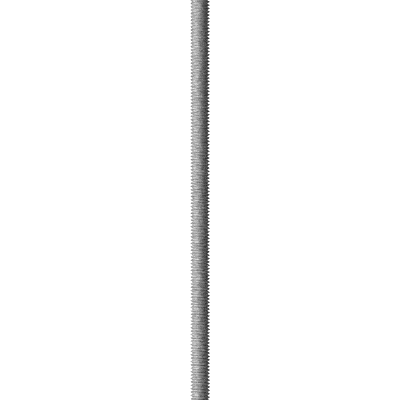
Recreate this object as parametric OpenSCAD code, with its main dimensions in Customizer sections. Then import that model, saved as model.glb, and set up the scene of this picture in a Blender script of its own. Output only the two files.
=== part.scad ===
/* [Thread] */
// Diameter over the thread crests, near the low limit for a 3/8 inch thread
major_d = 9.2; // [8:0.01:12]
// Axial distance from one crest to the next, for 16 threads an inch
pitch = 1.5875; // [1.25:0.0125:2.5]
// Angle between the two flanks of the standard thread form, which sets the depth
flank_angle = 60; // [50:1:70]

/* [Rod] */
// Overall length of the rod
rod_length = 203.2; // [60:0.1:280]
// Angle of the chamfer at each end, measured from the end face
chamfer_angle = 45; // [30:1:60]
// How far the edge of each end flat stays inside the thread root
end_inset = 0.27; // [0.05:0.01:1]

/* [Roundness] */
// Triangles that the thread surface may take, which sets its facets round a turn
thread_triangles = 10600; // [8000:100:11600]

/* [Hidden] */

// Share of its sharp V that the standard form leaves as the depth of an external thread
DEPTH_SHARE = 17 / 24;
// The sweep starts this many turns below the rod and runs this many longer, so the blank trims both its ends
SWEEP_START = 1.4;
SWEEP_EXTRA = 2;
// Sides of an outline that is meant as a true circle
ROUND_FN = 96;

sharp_v_height = pitch / (2 * tan(flank_angle / 2));
thread_depth = DEPTH_SHARE * sharp_v_height;
crest_r = major_d / 2;
root_r = crest_r - thread_depth;
end_r = root_r - end_inset;

// One pitch of the thread: each point is a share of the pitch and a radius
form = [[0, root_r], [1 / 2, crest_r]];
form_points = len(form);
rows = form_points * ceil(rod_length / pitch + SWEEP_EXTRA);
// Always an even number, so that the rod measures the same to both sides of its axis
facets = 2 * floor(thread_triangles / (4 * rows));

function row_radius(row) = form[row % form_points][1];
function row_turns(row) = floor(row / form_points) + form[row % form_points][0];

// A point of the right-hand thread: it climbs with its row, and by one pitch in a full turn of facets
function thread_point(row, facet) =
    let (turn = facet / facets, radius = row_radius(row))
    [
        radius * cos(360 * turn),
        radius * sin(360 * turn),
        pitch * (row_turns(row) + turn - SWEEP_START)
    ];

// The helical surface, closed at each end by a fan that takes in the step of one pitch
module helical_thread() {
    foot = (rows + 1) * facets;
    tip = foot + 1;
    last_facet = facets - 1;
    last_turn = rows - form_points;

    // Number of a point: past the last facet the surface meets its own first column, one pitch higher
    function at(row, facet) = facet < facets ? row * facets + facet : (row + form_points) * facets;

    wall = [
        for (facet = [0:last_facet])
            for (row = [0:(facet < last_facet ? rows : last_turn) - 1])
                each [
                    [at(row, facet), at(row + 1, facet), at(row + 1, facet + 1)],
                    [at(row, facet), at(row + 1, facet + 1), at(row, facet + 1)]
                ]
    ];
    foot_fan = [for (facet = [0:last_facet]) [foot, at(0, facet), at(0, facet + 1)]];
    foot_step = [for (row = [0:form_points - 1]) [foot, at(row + 1, 0), at(row, 0)]];
    tip_fan = [for (facet = [0:last_facet - 1]) [tip, at(rows, facet + 1), at(rows, facet)]];
    tip_step = [for (row = [last_turn:rows - 1]) [tip, at(row, last_facet), at(row + 1, last_facet)]];
    tip_join = [[tip, at(rows, 0), at(last_turn, last_facet)]];

    polyhedron(
        points = [
            for (row = [0:rows]) for (facet = [0:last_facet]) thread_point(row, facet),
            [0, 0, thread_point(0, 0).z],
            [0, 0, thread_point(rows, 0).z]
        ],
        faces = concat(wall, foot_fan, foot_step, tip_fan, tip_step, tip_join),
        convexity = 10
    );
}

// The bar that bounds the thread: it gives the end flats and chamfers, and clears the crests between them
module chamfered_blank() {
    clear_r = crest_r + thread_depth;
    chamfer_height = (clear_r - end_r) * tan(chamfer_angle);
    rotate_extrude($fn = ROUND_FN)
        polygon([
            [0, 0],
            [end_r, 0],
            [clear_r, chamfer_height],
            [clear_r, rod_length - chamfer_height],
            [end_r, rod_length],
            [0, rod_length]
        ]);
}

module threaded_rod() {
    color("darkgray")
        intersection() {
            helical_thread();
            chamfered_blank();
        }
}

threaded_rod();
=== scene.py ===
# %% [markdown]
# A threaded rod is a plain steel bar with a screw thread rolled into its whole length, then coated
# with zinc so that it doesn't rust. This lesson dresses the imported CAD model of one: the true rounded
# thread form, both chamfered ends, the dull mottled zinc, and a soft white studio round it.
# Everything is in metres, in the frame of the CAD model: +Z runs up the rod, which stands at z = 0.

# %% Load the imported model
import math

import bmesh
import bpy
import numpy as np
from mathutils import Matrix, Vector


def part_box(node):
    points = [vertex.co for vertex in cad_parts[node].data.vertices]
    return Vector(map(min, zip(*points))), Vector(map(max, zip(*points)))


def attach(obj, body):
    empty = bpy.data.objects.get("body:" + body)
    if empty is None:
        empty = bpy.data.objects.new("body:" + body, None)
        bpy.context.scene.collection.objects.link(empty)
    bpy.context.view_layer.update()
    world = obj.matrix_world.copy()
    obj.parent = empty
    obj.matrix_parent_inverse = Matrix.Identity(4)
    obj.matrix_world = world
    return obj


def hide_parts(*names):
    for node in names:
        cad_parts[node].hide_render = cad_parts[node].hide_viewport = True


MM = 0.001

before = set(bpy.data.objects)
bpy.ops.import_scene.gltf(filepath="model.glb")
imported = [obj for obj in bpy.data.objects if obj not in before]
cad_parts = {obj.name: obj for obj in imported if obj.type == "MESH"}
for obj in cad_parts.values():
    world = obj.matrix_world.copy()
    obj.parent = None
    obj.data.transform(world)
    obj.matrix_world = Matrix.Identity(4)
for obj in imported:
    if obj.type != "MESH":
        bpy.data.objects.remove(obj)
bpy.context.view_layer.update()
rod_low, rod_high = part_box("threaded_rod")
rod_length = rod_high.z - rod_low.z
rod_middle = (rod_low.z + rod_high.z) / 2
crest_radius = rod_high.x
print(f"rod: {rod_length / MM:.1f} mm long, {2 * crest_radius / MM:.2f} mm over its crests")

# %% [markdown]
# The camera comes first, because every later choice is judged through it. The photograph's rows are
# a little closer together at its top, as they would be from about 0.6 m with a long lens that looks
# slightly up from a little below the rod's middle. Both ends of the rod lie just outside the frame.

# %% Camera
PHOTO_SIDE = 400  # pixels
PIXEL_AT_ROD = 0.473 * MM  # what one pixel covers at the rod
VIEW_WIDTH = PHOTO_SIDE * PIXEL_AT_ROD
CAMERA_DISTANCE = 3.25 * VIEW_WIDTH  # so far that the rod tapers as little as in the photograph
LOOK_UP = math.radians(2.5)
SENSOR = 36.0  # millimetres
ROD_RIGHT_OF_MIDDLE = 0.15 * PIXEL_AT_ROD
NEAREST, FARTHEST = 0.01, 50.0  # what the camera draws lies between these distances


def make_camera():
    """A camera in front of the rod, aimed at its middle and tilted up by LOOK_UP.

    The lens is half the sensor divided by the tangent of half the field of view, and that tangent is
    half the picture's width over the distance, both measured at the rod."""
    data = bpy.data.cameras.new("photo_camera")
    data.sensor_width = SENSOR
    data.lens = SENSOR / 2 / (VIEW_WIDTH / 2 / CAMERA_DISTANCE)
    data.clip_start, data.clip_end = NEAREST, FARTHEST
    camera = bpy.data.objects.new("photo_camera", data)
    height = rod_middle - CAMERA_DISTANCE * math.tan(LOOK_UP)
    camera.location = (-ROD_RIGHT_OF_MIDDLE, -CAMERA_DISTANCE, height)
    camera.rotation_euler = (math.radians(90) + LOOK_UP, 0, 0)
    bpy.context.scene.collection.objects.link(camera)
    bpy.context.scene.camera = camera
    return camera


camera = make_camera()
print(f"camera: lens {camera.data.lens:.0f} mm, {CAMERA_DISTANCE:.3f} m away")

# %% [markdown]
# The thread is the whole look of this part. In the CAD solid its form is a plain zigzag, so that the
# solid stays light. Here it gets the real section of a rolled thread: a narrow crest with soft
# corners, straight flanks at 60 degrees to each other, and a round root where the die pressed the
# steel away. One pitch is ten points, few enough to repeat along the whole rod.

# %% One pitch of the thread form
PITCH = 1.5875 * MM
FLANK = math.radians(30)  # each flank leans this far from square to the axis
SHARP_V = PITCH / (2 * math.tan(FLANK))  # how deep the flanks would go if they met in points
CREST_CUT = SHARP_V / 8  # the crest is this much lower than the sharp V
ROOT_ROUND = SHARP_V / 8  # radius of the root, whose lowest point lies as far above the V's point
ROOT_ARC = math.pi / 2 - FLANK  # from straight down to where the root meets a flank
ROOT_POINTS = 5
THREAD_DEPTH = SHARP_V - CREST_CUT - ROOT_ROUND
CREST_HALF = PITCH / 16  # half the flat that the crest would have with sharp corners
CREST_BLEND = 1.4  # the soft corner ends this many times as far out as the sharp one would lie
BEND_PLACE, BEND_DEPTH = 0.6, 0.15  # a point inside the soft corner, as shares of its end's


def thread_form():
    """Places along the axis and depths below the crest of the points of one pitch.

    On the flank, the depth is the distance past the crest's edge divided by the tangent of the
    flank's lean. In the root it is the depth of the round's centre plus its radius times the cosine
    of the angle from straight down, and the place is half a pitch plus its radius times the sine."""
    edge = CREST_BLEND * CREST_HALF
    edge_depth = (edge - CREST_HALF) / math.tan(FLANK)
    crest_places = edge * np.array([-1, -BEND_PLACE, 0, BEND_PLACE, 1])
    crest_depths = edge_depth * np.array([1, BEND_DEPTH, 0, BEND_DEPTH, 1])
    angles = np.linspace(-ROOT_ARC, ROOT_ARC, ROOT_POINTS)
    root_places = PITCH / 2 + ROOT_ROUND * np.sin(angles)
    root_depths = THREAD_DEPTH - ROOT_ROUND + ROOT_ROUND * np.cos(angles)
    return np.concatenate([crest_places, root_places]), np.concatenate([crest_depths, root_depths])


form_places, form_depths = thread_form()
print(f"thread: {THREAD_DEPTH / MM:.2f} mm deep, {len(form_places)} points a pitch")

# %% [markdown]
# A thread is one form carried round the bar while it climbs a pitch in each turn. Blender's Screw
# modifier could sweep it, but then each turn would be the same as the last. Worked out as a grid, the
# surface can be as uneven as rolling leaves it: one direction of the grid goes round the bar, and the
# other goes up through the form, pitch after pitch. After a full turn, each line of the grid meets
# the line one pitch above where it began, which is what closes the surface along its seam.

# %% Uneven rolling
ROOT_UNEVEN, CREST_UNEVEN = 0.03 * MM, 0.008 * MM  # how far the surface strays, in and out
FINE_BUMPS, COARSE_BUMPS, CREST_BUMPS = 23, 7.3, 31  # in one turn
FINE_PART = 0.6  # what the fine bumps make of the root's unevenness


def smooth_noise(places, seed, cells=997):
    """Value noise along one axis: random heights at the whole numbers, joined by the smooth step
    3t^2 - 2t^3 of the share t of the way between two of them."""
    heights = np.random.default_rng(seed).uniform(-1, 1, cells)
    whole = np.floor(places).astype(int)
    share = places - whole
    share = share * share * (3 - 2 * share)
    return heights[whole % cells] * (1 - share) + heights[(whole + 1) % cells] * share


def unevenness(turns, share):
    """How far the surface stands out, at places along the thread counted in turns, and at shares of
    the way from crest to root.

    It is the root's noise times the share, plus the crest's noise times what is left of one. The
    zinc gathers in the root, so the noise there is the stronger one."""
    fine = smooth_noise(turns * FINE_BUMPS, 1)
    coarse = smooth_noise(turns * COARSE_BUMPS, 2)
    crest = smooth_noise(turns * CREST_BUMPS, 3)
    root = FINE_PART * fine + (1 - FINE_PART) * coarse
    return ROOT_UNEVEN * share * root + CREST_UNEVEN * (1 - share) * crest


# %% The rolled surface
FACETS = 64  # columns of points in one turn
OVERRUN = 2  # pitches swept past each end, to be trimmed
START_SHARE = 0.55  # share of a pitch that turns the thread to the photograph's rows
COAT_INSET = 0.01 * MM  # the crests lie this far inside the CAD solid's, to leave their bumps room


def thread_points():
    """Points of the thread, in rows that go round the bar.

    A point at angle a and height h of the form lies at radius crest minus depth, and at height h
    plus one pitch times a over a full turn. The unevenness takes from the depth."""
    pitches = int(round(rod_length / PITCH)) + 2 * OVERRUN
    first = rod_low.z - (OVERRUN - START_SHARE) * PITCH
    row_pitch = np.repeat(np.arange(pitches), len(form_places))
    row_height = first + row_pitch * PITCH + np.tile(form_places, pitches)
    row_depth = np.tile(form_depths, pitches)[:, None]
    turn = np.arange(FACETS)[None, :] / FACETS
    depth = row_depth - unevenness(row_pitch[:, None] + turn, row_depth / THREAD_DEPTH)
    radius = crest_radius - COAT_INSET - depth
    height = row_height[:, None] + PITCH * turn
    angle = 2 * math.pi * turn
    return np.stack([radius * np.cos(angle), radius * np.sin(angle), height], axis=-1)


def thread_faces(rows):
    """Four-sided faces between the rows. Beside the last column lies the first, one pitch higher."""
    climb = len(form_places)
    row, column = np.meshgrid(np.arange(rows - climb - 1), np.arange(FACETS), indexing="ij")
    here = row * FACETS + column
    beside = np.where(column == FACETS - 1, (row + climb) * FACETS, here + 1)
    return np.stack([here, beside, beside + FACETS, here + FACETS], axis=-1)


def mesh_from(name, coords, faces):
    """A smooth mesh object at the origin from arrays of points and four-sided faces."""
    mesh = bpy.data.meshes.new(name)
    mesh.from_pydata(coords.reshape(-1, 3).tolist(), [], faces.reshape(-1, 4).tolist())
    mesh.polygons.foreach_set("use_smooth", np.ones(len(mesh.polygons), bool))
    made = bpy.data.objects.new(name, mesh)
    bpy.context.scene.collection.objects.link(made)
    return made


points = thread_points()
rod = mesh_from("zinc_threaded_rod", points, thread_faces(len(points)))
print(f"rolled surface: {len(rod.data.vertices)} points")

# %% [markdown]
# A rod is cut to length and then chamfered, so that a nut starts easily. A Boolean with a turned
# blank could do both, but about one in eight of the triangles that it leaves near the ends is a
# sliver less than 5 microns wide, against one in forty this way. Here cutting is a plane that slices
# the surface, and the chamfer is a cone that no point may stand outside, with its corner to the end
# face slightly rounded. The zone near each end is divided more finely in between, so that the thread
# runs out through the cone in a clean curve.

# %% Cut to length
ZONE = 2.0 * MM  # what lies within this of an end is divided
SLICES = (0.012 * MM, 0.035 * MM, 0.08 * MM, 0.2 * MM)  # more cuts, this far in from each end
TOUCHING = 1e-7  # points that are closer than this count as one


def slice_mesh(bm, parts, height, outwards, clear):
    """Cuts the parts of a mesh along the level plane at a height, and may drop what is beyond."""
    bmesh.ops.bisect_plane(bm, geom=parts, plane_co=(0, 0, height), plane_no=(0, 0, outwards),
                           clear_outer=clear, dist=TOUCHING)


def divide_zone(bm, height, outwards):
    """Slices the surface just inside an end, then divides every edge of the zone there in two."""
    for depth in SLICES:
        near = [f for f in bm.faces if abs(f.calc_center_median().z - height) < ZONE / 2]
        rims = dict.fromkeys(part for f in near for part in (*f.verts, *f.edges))
        slice_mesh(bm, [*rims, *near], height - outwards * depth, outwards, False)
    zone = [e for e in bm.edges if all(abs(v.co.z - height) < ZONE for v in e.verts)]
    bmesh.ops.subdivide_edges(bm, edges=zone, cuts=1, use_grid_fill=True)


def cut_to_length(piece):
    """Drops what the sweep made beyond both ends, and divides the zones that get the chamfers."""
    bm = bmesh.new()
    bm.from_mesh(piece.data)
    for height, outwards in ((rod_low.z, -1), (rod_high.z, 1)):
        slice_mesh(bm, bm.verts[:] + bm.edges[:] + bm.faces[:], height, outwards, True)
        divide_zone(bm, height, outwards)
    bm.to_mesh(piece.data)
    bm.free()


cut_to_length(rod)
print(f"cut to length: {len(rod.data.vertices)} points")

# %% Chamfer both ends
END_INSET = 0.27 * MM  # how far the edge of each end face stays inside the root
END_RADIUS = crest_radius - THREAD_DEPTH - END_INSET
CORNER = 0.12 * MM  # radius of the corner between end face and chamfer
CHAMFER = math.radians(45)  # between the cone and the end face
CONE_GROWTH = 1 / math.tan(CHAMFER)  # how fast the cone's radius grows with its depth


def chamfer_radius(depth):
    """Greatest radius at a depth in from the end face.

    As deep as the rounded corner reaches it is a circle's arc, whose radius squared is the sum of
    squares of its two distances from the centre. Deeper in it is the end's radius plus the depth
    times the cone's growth."""
    arc_start = END_RADIUS - CORNER * math.tan(CHAMFER / 2)
    arc_depth = CORNER * (1 - math.cos(CHAMFER))
    arc = arc_start + np.sqrt(CORNER**2 - (CORNER - np.clip(depth, 0, arc_depth)) ** 2)
    return np.where(depth < arc_depth, arc, END_RADIUS + CONE_GROWTH * depth)


def chamfer_ends(piece):
    """Moves each point straight in towards the axis, until it is inside the chamfer of its end.

    Its x and y are multiplied by the greatest radius over its own, where that is less than one.
    Returns how many points have moved."""
    coords = np.empty(3 * len(piece.data.vertices), np.float32)
    piece.data.vertices.foreach_get("co", coords)
    x, y, z = coords.reshape(-1, 3).T.astype(float)
    depth = np.minimum(z - rod_low.z, rod_high.z - z)
    shrink = np.minimum(1, chamfer_radius(depth) / np.hypot(x, y))
    pressed = np.stack([x * shrink, y * shrink, z], axis=-1)
    piece.data.vertices.foreach_set("co", pressed.astype(np.float32).ravel())
    return int((shrink < 1).sum())


pressed_points = chamfer_ends(rod)
print(f"chamfers: end faces {2 * END_RADIUS / MM:.2f} mm wide, {pressed_points} points pressed in")

# %% Close the ends
FLAT = 0.999  # on the end faces, the z of the normal is beyond this, up or down


def close_ends(piece):
    """Fills each end with a flat face, turns all faces outwards, and shades all but the ends softly.
    Returns how many edges are left open, and the volume."""
    bm = bmesh.new()
    bm.from_mesh(piece.data)
    bmesh.ops.dissolve_degenerate(bm, dist=TOUCHING, edges=bm.edges[:])
    bmesh.ops.holes_fill(bm, edges=[e for e in bm.edges if e.is_boundary])
    bmesh.ops.triangulate(bm, faces=[f for f in bm.faces if len(f.verts) > 4])
    bmesh.ops.recalc_face_normals(bm, faces=bm.faces[:])
    for face in bm.faces:
        face.smooth = abs(face.normal.z) < FLAT
    bm.to_mesh(piece.data)
    open_edges = sum(not e.is_manifold for e in bm.edges)
    volume = bm.calc_volume()
    bm.free()
    return open_edges, volume


open_edges, volume = close_ends(rod)
triangles = sum(len(p.vertices) - 2 for p in rod.data.polygons)
print(f"cut rod: {triangles} triangles, {open_edges} open edges, {volume / MM**3:.0f} mm3")

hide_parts("threaded_rod")
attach(rod, "root")

# %% [markdown]
# Zinc is never one flat grey. Seen close, it has lighter and darker patches and a fine grain, it
# lies in shallow lumps drawn out along the thread, and the rolling dies leave streaks under it.
# Handling polishes the crests, the roots are darkened with a painted shade, and the cut ends keep the
# rings of the tool. A picture of zinc would have to be wrapped round 128 turns of thread. Object
# coordinates need no wrapping, so each of these effects is a small node group that reads them.

# %% Helpers for nodes
def add_node(tree, kind, values=None, **settings):
    """A node in the tree, with its settings, and its sockets linked or set to plain values."""
    node = tree.nodes.new("ShaderNode" + kind)
    for key, value in settings.items():
        setattr(node, key, value)
    for key, value in (values or {}).items():
        if isinstance(value, bpy.types.NodeSocket):
            tree.links.new(value, node.inputs[key])
        else:
            node.inputs[key].default_value = value
    return node


def calculate(tree, operation, *values):
    """The result of a Math node, whose values are sockets or numbers."""
    return add_node(tree, "Math", dict(enumerate(values)), operation=operation).outputs[0]


def carry_over(tree, value, span=(0, 1), ends=(0, 1), eased=False):
    """What a value becomes when its span is carried over to other ends, in a straight line or
    with a soft start and finish. It stops at the ends."""
    return add_node(tree, "MapRange", {
        "Value": value, "From Min": span[0], "From Max": span[1], "To Min": ends[0], "To Max": ends[1]},
        interpolation_type="SMOOTHSTEP" if eased else "LINEAR").outputs[0]


def node_group(name, numbers, outputs):
    """A shader node group that takes a Vector and some numbers, given with their usual values.
    Returns it with its two end nodes."""
    group = bpy.data.node_groups.new(name, "ShaderNodeTree")
    group.interface.new_socket(name="Vector", in_out="INPUT", socket_type="NodeSocketVector")
    for label, value in numbers.items():
        socket = group.interface.new_socket(name=label, in_out="INPUT", socket_type="NodeSocketFloat")
        socket.default_value = value
    for label in outputs:
        group.interface.new_socket(name=label, in_out="OUTPUT", socket_type="NodeSocketFloat")
    return group, group.nodes.new("NodeGroupInput"), group.nodes.new("NodeGroupOutput")


# %% [markdown]
# Painted shade in the roots, wear on the crests and the tool's marks all depend on how far out in the
# thread a point lies. A mask for them could be painted, but it would fit this one rod only. The
# distance from the axis says the same thing on a rod of any length, and two vector nodes work it out.

# %% Height in the thread
def thread_height_group():
    """How far out a point lies: its distance from the axis is the length of (x, y, 0), and the height
    is that distance's share of the way from the root to the crest."""
    group, start, end = node_group(
        "thread height", {"Crest Radius": crest_radius, "Depth": THREAD_DEPTH}, ["Height", "Distance"])
    crest = start.outputs["Crest Radius"]
    flat = add_node(group, "VectorMath", {0: start.outputs["Vector"], 1: (1, 1, 0)},
                    operation="MULTIPLY")
    length = add_node(group, "VectorMath", {0: flat.outputs[0]}, operation="LENGTH")
    distance = length.outputs["Value"]
    root = calculate(group, "SUBTRACT", crest, start.outputs["Depth"])
    group.links.new(carry_over(group, distance, (root, crest)), end.inputs["Height"])
    group.links.new(distance, end.inputs["Distance"])
    return group


height_group = thread_height_group()
print("made the node group", height_group.name)

# %% [markdown]
# A coat of zinc has soft patches a millimetre or two across, and a fine grain within them. A Voronoi
# texture would give the patches hard edges, as on new sheet metal. An old coat has lost them, so two
# soft noises, one coarse and one fine, come closer to it.

# %% Mottle
NOISE_MIDDLE = 0.5
NOISE_ROUGHNESS = 0.6  # how strong each finer layer of a noise is, next to the one before
PATCHES_A_METRE, GRAINS_A_METRE = 700.0, 2500.0
PATCH_LAYERS, GRAIN_LAYERS = 4.0, 2.0  # finer layers of noise in each
PATCH_SPREAD, GRAIN_SPREAD = 0.2, 0.25  # how far from the noise's middle each reaches none or all


def mottle_group():
    """Soft patches and fine grain: two noises of different scale, each turned into a share from 0
    to 1 round its middle by its spread."""
    group, start, end = node_group(
        "zinc mottle", {"Patch Scale": PATCHES_A_METRE, "Grain Scale": GRAINS_A_METRE},
        ["Patches", "Grain"])
    for label, scale, layers, spread in (
            ("Patches", "Patch Scale", PATCH_LAYERS, PATCH_SPREAD),
            ("Grain", "Grain Scale", GRAIN_LAYERS, GRAIN_SPREAD)):
        noise = add_node(group, "TexNoise", {
            "Vector": start.outputs["Vector"], "Scale": start.outputs[scale], "Detail": layers,
            "Roughness": NOISE_ROUGHNESS})
        span = (NOISE_MIDDLE - spread, NOISE_MIDDLE + spread)
        share = carry_over(group, noise.outputs[0], span, eased=True)
        group.links.new(share, end.inputs[label])
    return group


mottle = mottle_group()
print("made the node group", mottle.name)

# %% [markdown]
# The dies draw the steel along the thread as they roll it, and the streaks still show through the
# zinc. A Wave texture would make them all alike. Noise in a space that is squeezed along the axis
# gives streaks of many lengths. With longer and wider spots, the same group also makes the lumps.

# %% Streaks
STREAK_LENGTH, STREAK_WIDTH = 1.6 * MM, 0.5 * MM
STREAK_LAYERS = 2.0


def streak_group():
    """Streaks along the thread: a noise in space squeezed along the axis, so that each of its spots
    is drawn out round the bar."""
    group, start, end = node_group(
        "rolling streaks", {"Length": STREAK_LENGTH, "Width": STREAK_WIDTH, "Detail": STREAK_LAYERS},
        ["Streaks"])
    across = calculate(group, "DIVIDE", 1.0, start.outputs["Length"])
    along = calculate(group, "DIVIDE", 1.0, start.outputs["Width"])
    scale = add_node(group, "CombineXYZ", {0: across, 1: across, 2: along})
    squeezed = add_node(group, "VectorMath", {0: start.outputs["Vector"], 1: scale.outputs[0]},
                        operation="MULTIPLY")
    noise = add_node(group, "TexNoise", {
        "Vector": squeezed.outputs[0], "Scale": 1.0, "Detail": start.outputs["Detail"],
        "Roughness": NOISE_ROUGHNESS})
    group.links.new(noise.outputs[0], end.inputs["Streaks"])
    return group


streaks = streak_group()
print("made the node group", streaks.name)

# %% [markdown]
# The saw and the chamfering tool leave paler metal with fine turned rings. A second material on those
# faces would end in a hard line. A mask that measures how close a point is to the cut can fade out,
# and it follows the chamfer through each turn of the thread.

# %% Cut ends
RING = 0.3 * MM  # from one ring of the tool to the next
CUT_FADE = (0.02 * MM, 0.06 * MM)  # off the cut, its look fades out between these distances


def cut_group():
    """Where the saw and the chamfering tool cut the bar, and the rings that they left.

    The depth in from the nearer end is half the rod's length minus the distance from its middle. The
    cone's radius is the end's plus that depth times the cone's growth, and the gap to the cone is
    that radius minus the distance from the axis. The cut is where the depth or the gap is next to
    nothing, and its rings are a sine of the distance."""
    group, start, end = node_group(
        "cut ends", {"Distance": 0.0, "End Radius": END_RADIUS, "Ring": RING}, ["Cut", "Rings"])
    distance = start.outputs["Distance"]
    height = add_node(group, "SeparateXYZ", {0: start.outputs["Vector"]}).outputs["Z"]
    from_middle = calculate(group, "ABSOLUTE", calculate(group, "SUBTRACT", height, rod_middle))
    depth = calculate(group, "SUBTRACT", rod_length / 2, from_middle)
    cone = calculate(group, "MULTIPLY_ADD", depth, CONE_GROWTH, start.outputs["End Radius"])
    gap = calculate(group, "SUBTRACT", cone, distance)
    nearest = calculate(group, "MINIMUM", depth, gap)
    cut = carry_over(group, nearest, CUT_FADE, (1, 0), eased=True)
    rings = calculate(group, "DIVIDE", distance, start.outputs["Ring"])
    rings = calculate(group, "SINE", calculate(group, "MULTIPLY", rings, 2 * math.pi))
    group.links.new(cut, end.inputs["Cut"])
    group.links.new(rings, end.inputs["Rings"])
    return group


cut_ends = cut_group()
print("made the node group", cut_ends.name)

# %% [markdown]
# The material puts the groups together. Its grey runs from dark zinc to light zinc by the streaks,
# the patches and the grain. A root mask, broken up by the streaks, brings in a breath of painted shade
# that darkens the roots, a crest mask the polish, and the cut mask the paler ends. Old zinc wears a
# dull grey skin, so it shines like half a metal: with Metallic at 1 the whole rod turns darker, and the
# rows on its dark side lose up to half their contrast.

# %% Colour of the zinc
def grey(level):
    """A colour with as much red as green and blue."""
    return level, level, level, 1


DARK_ZINC, LIGHT_ZINC = grey(0.42), grey(0.68)
# the root colour is painted shade: a near-black grey mixed into the thread roots, where shade falls
PAINTED_ROOT_SHADE, WORN_CREST, CUT_FACE = grey(0.10), grey(0.88), grey(0.74)
ROOT_SHARE, CREST_SHARE, CUT_SHARE = 0.07, 0.3, 0.6  # how far each mask may change the zinc
ROOT_SPAN, CREST_SPAN = (0.0, 0.6), (0.8, 1.05)  # heights where the painted root shade runs out and wear comes in
RAGGED = 0.25  # how much higher or lower the streaks may move those heights
STREAK_SPAN = (0.3, 0.7)  # values of the streaks' noise that make the zinc darkest and lightest
STREAK_PART, PATCH_PART, GRAIN_PART = 0.5, 0.3, 0.2  # what each adds to the zinc's shade


def mix_colour(tree, share, first, second):
    """The first colour turned into the second by a share. A Mix node has sockets for numbers and
    vectors too: its inputs 6 and 7 are the two colours, and its output 2 is their mix."""
    return add_node(tree, "Mix", {"Factor": share, 6: first, 7: second}, data_type="RGBA").outputs[2]


def zinc_shade(tree, lines, spots):
    """How light the zinc is, from 0 to 1: the sum of streaks, patches and grain times their parts."""
    shade = calculate(tree, "MULTIPLY", carry_over(tree, lines, STREAK_SPAN), STREAK_PART)
    shade = calculate(tree, "MULTIPLY_ADD", spots["Patches"], PATCH_PART, shade)
    return calculate(tree, "MULTIPLY_ADD", spots["Grain"], GRAIN_PART, shade)


def thread_masks(tree, height, lines):
    """Where the roots get a painted shade and where the crest is worn. Both masks read the height in
    the thread, moved up and down by the streaks so that their edges are ragged."""
    uneven = carry_over(tree, lines, ends=(-RAGGED, RAGGED))
    level = calculate(tree, "ADD", height, uneven)
    # painted shade: this mask darkens the roots in the colour, and it also makes them a little rougher
    root = carry_over(tree, level, ROOT_SPAN, (ROOT_SHARE, 0), eased=True)
    crest = carry_over(tree, level, CREST_SPAN, (0, CREST_SHARE), eased=True)
    return root, crest


def zinc_colour(tree, shade, root, crest, cut):
    """Zinc of its shade, with the worn crests, the painted root shade and the cut ends laid over it in
    turn.
    """
    zinc = mix_colour(tree, shade, DARK_ZINC, LIGHT_ZINC)
    zinc = mix_colour(tree, crest, zinc, WORN_CREST)
    # painted shade: the roots are darkened towards near black
    zinc = mix_colour(tree, root, zinc, PAINTED_ROOT_SHADE)
    return mix_colour(tree, calculate(tree, "MULTIPLY", cut, CUT_SHARE), zinc, CUT_FACE)


print(f"zinc: grey from {DARK_ZINC[0]} to {LIGHT_ZINC[0]}, worn to {WORN_CREST[0]}")

# %% Zinc-coated steel
METAL_SHARE = 0.55
DULL, SMOOTH = 0.68, 0.60  # roughness of dark and of light zinc
LUMP_HEIGHT = 0.42 * MM  # from where the lumps' noise is 0 to where it is 1
LUMP_LENGTH, LUMP_WIDTH, LUMP_LAYERS = 2.2 * MM, 0.6 * MM, 0.0
GRAIN_HEIGHT, RING_HEIGHT = 0.05, 0.02  # as shares of the lumps' height


def zinc_relief(tree, lumps, grain, cut, rings):
    """The surface's normal: lumps with a little grain on them, but only rings where the bar is cut."""
    coat = calculate(tree, "MULTIPLY_ADD", grain, GRAIN_HEIGHT, lumps)
    marks = calculate(tree, "MULTIPLY", rings, RING_HEIGHT)
    relief = carry_over(tree, cut, ends=(coat, marks))
    bump = add_node(tree, "Bump", {"Strength": 1.0, "Distance": LUMP_HEIGHT, "Height": relief})
    return bump.outputs[0]


def zinc_material():
    """Dull zinc on rolled steel: half metallic, fairly rough, mottled, lumpy, paler where it is cut."""
    material = bpy.data.materials.new("dull_zinc")
    material.use_nodes = True
    tree = material.node_tree
    shader = tree.nodes["Principled BSDF"]
    place = add_node(tree, "TexCoord").outputs["Object"]
    thread = add_node(tree, "Group", {"Vector": place}, node_tree=height_group).outputs
    spots = add_node(tree, "Group", {"Vector": place}, node_tree=mottle).outputs
    lines = add_node(tree, "Group", {"Vector": place}, node_tree=streaks).outputs[0]
    lumps = add_node(tree, "Group", {
        "Vector": place, "Length": LUMP_LENGTH, "Width": LUMP_WIDTH, "Detail": LUMP_LAYERS},
        node_tree=streaks).outputs[0]
    ends = add_node(tree, "Group", {"Vector": place, "Distance": thread["Distance"]},
                    node_tree=cut_ends).outputs

    shade = zinc_shade(tree, lines, spots)
    root, crest = thread_masks(tree, thread["Height"], lines)
    tree.links.new(zinc_colour(tree, shade, root, crest, ends["Cut"]), shader.inputs["Base Color"])
    rough = calculate(tree, "ADD", carry_over(tree, shade, ends=(DULL, SMOOTH)), root)
    tree.links.new(rough, shader.inputs["Roughness"])
    shader.inputs["Metallic"].default_value = METAL_SHARE
    normal = zinc_relief(tree, lumps, spots["Grain"], ends["Cut"], ends["Rings"])
    tree.links.new(normal, shader.inputs["Normal"])
    return material


rod.data.materials.append(zinc_material())
print("rod is coated with", rod.data.materials[0].name)

# %% [markdown]
# The stage is a white paper floor under a white sky. A bent paper backdrop would do for one view, but
# the rod is looked at from all sides, and the sky is white behind it in each. Both floor and sky
# show white to the camera only: if they also lit the rod, its dark side would be gone. A soft sun
# that shines on nothing but the floor draws the shadow at the rod's foot, and the paper also glows
# by itself, so the shadow stays pale.

# %% Floor
FLOOR_SIDE = 12.0
FLOOR_GAP = 0.1 * MM  # keeps the floor and the rod's end face from lying in one plane
WHITE = grey(1)
PAPER = grey(0.85)
PAPER_ROUGHNESS = 0.9
PAPER_GLOW = 0.6
DARK_PAPER = grey(0.035)  # what the rod gets of the paper


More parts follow.
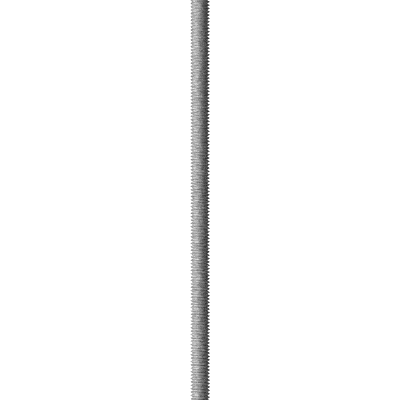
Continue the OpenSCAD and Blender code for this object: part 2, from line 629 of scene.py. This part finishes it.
def show_to_camera(tree, output, seen, unseen):
    """Shows one shader to the camera and another to the light that bounces."""
    path = add_node(tree, "LightPath")
    mix = add_node(tree, "MixShader", {0: path.outputs["Is Camera Ray"], 1: unseen, 2: seen})
    tree.links.new(mix.outputs[0], output)


def white_paper():
    """Paper that also glows for the camera, and is nearly black to the light round the rod."""
    paper = bpy.data.materials.new("white_paper")
    paper.use_nodes = True
    tree = paper.node_tree
    sheet = tree.nodes["Principled BSDF"]
    sheet.inputs["Base Color"].default_value = PAPER
    sheet.inputs["Roughness"].default_value = PAPER_ROUGHNESS
    sheet.inputs["Emission Color"].default_value = WHITE
    sheet.inputs["Emission Strength"].default_value = PAPER_GLOW
    dark = add_node(tree, "BsdfDiffuse", {"Color": DARK_PAPER})
    surface = tree.nodes["Material Output"].inputs["Surface"]
    show_to_camera(tree, surface, sheet.outputs[0], dark.outputs[0])
    return paper


corners = np.array([[-1, -1, 0], [1, -1, 0], [1, 1, 0], [-1, 1, 0]]) * FLOOR_SIDE / 2
floor = mesh_from("studio_floor", corners + [0, 0, rod_low.z - FLOOR_GAP], np.array([[0, 1, 2, 3]]))
floor.data.materials.append(white_paper())
print(f"floor: {FLOOR_SIDE:.0f} m wide, {FLOOR_GAP / MM:.1f} mm under the rod")

# %% White sky
SKY_LIGHT = 0.02  # what the sky gives the rod
SKY_SEEN = 1.1  # how bright the camera sees it, just past white


def white_sky():
    """A world that is white behind the rod and gives it hardly any light."""
    world = bpy.data.worlds.new("studio_sky")
    world.use_nodes = True
    tree = world.node_tree
    faint = tree.nodes["Background"]
    faint.inputs["Color"].default_value = WHITE
    faint.inputs["Strength"].default_value = SKY_LIGHT
    bright = add_node(tree, "Background", {"Color": WHITE, "Strength": SKY_SEEN})
    surface = tree.nodes["World Output"].inputs["Surface"]
    show_to_camera(tree, surface, bright.outputs[0], faint.outputs[0])
    return world


bpy.context.scene.world = white_sky()
print("sky:", bpy.context.scene.world.name)

# %% [markdown]
# The rod is lit as in the photograph: one big soft lamp on the left, so that the right side falls
# into shade. A weak lamp on the right lifts the dark edge to about the photograph's grey. A narrow
# one straight behind and one above are hardly seen from the front, but they keep the back and the
# upper end readable in other views. A bright sky could light it instead, but it would light all
# sides alike, and the photograph's soft slope from light to dark across the rod would be gone.

# %% Lamps
# Each lamp's azimuth in degrees, distance, height above the rod's middle, width and height, and watts
LAMPS = {
    "key": (-57, 0.9, -0.03, (0.8, 0.45), 16.7),
    "side": (97, 0.9, -0.03, (0.6, 0.45), 1.65),
    "back": (180, 0.9, 0.1, (0.25, 1.2), 7),
    "top": (0, 0.0, rod_length / 2 + 1.0, (0.1, 0.1), 3),
}


def soft_lamp(name, azimuth, distance, above_middle, size, power):
    """A rectangular lamp at an azimuth round the rod, turned to face the rod's middle. Azimuth 0 is
    on the camera's side and -90 on its left."""
    data = bpy.data.lights.new(name, "AREA")
    data.shape = "RECTANGLE"
    data.size, data.size_y = size
    data.energy = power
    lamp = bpy.data.objects.new(name, data)
    turn = math.radians(azimuth)
    lamp.location = (distance * math.sin(turn), -distance * math.cos(turn), rod_middle + above_middle)
    towards = lamp.location.copy()
    towards.z -= rod_middle
    lamp.rotation_euler = towards.to_track_quat("Z", "Y").to_euler()
    lamp.visible_camera = False
    bpy.context.scene.collection.objects.link(lamp)
    return lamp


def shine_on(lamp, piece):
    """Lets a lamp light one piece only. Other pieces still cast their shadows from it."""
    lit = bpy.data.collections.new(lamp.name + "_lights")
    lit.objects.link(piece)
    lamp.light_linking.receiver_collection = lit


for name, facts in LAMPS.items():
    shine_on(soft_lamp(name, *facts), rod)
print("lamps on the rod:", sorted(LAMPS))

# %% Sun on the floor
SUN_POWER = 2.1
SUN_WIDTH = math.radians(22)  # a wide sun makes a soft shadow
SUN_TURN = (math.radians(-20), math.radians(-26), 0)  # from straight down to the right and forwards


def floor_sun():
    """A sun for the shadow of the rod on the floor."""
    data = bpy.data.lights.new("floor_sun", "SUN")
    data.energy = SUN_POWER
    data.angle = SUN_WIDTH
    sun = bpy.data.objects.new("floor_sun", data)
    sun.rotation_euler = SUN_TURN
    bpy.context.scene.collection.objects.link(sun)
    return sun


shine_on(floor_sun(), floor)
print(f"sun on the floor: {SUN_POWER} watts a square metre")

# %% [markdown]
# In the picture, the thread's rows are just over three pixels high. A wide pixel filter would blur
# them, so it is narrow here. The denoiser takes such rows for noise and weakens them along the rod's
# dark edge, so it stays off. The Standard view keeps white paper white, where Blender's usual one
# would turn it grey.

# %% How the picture is taken
FILTER_WIDTH = 1.0  # pixels

bpy.context.scene.view_settings.view_transform = "Standard"
bpy.context.scene.cycles.filter_width = FILTER_WIDTH
bpy.context.scene.cycles.use_denoising = False
print("pixel filter:", bpy.context.scene.cycles.filter_width)
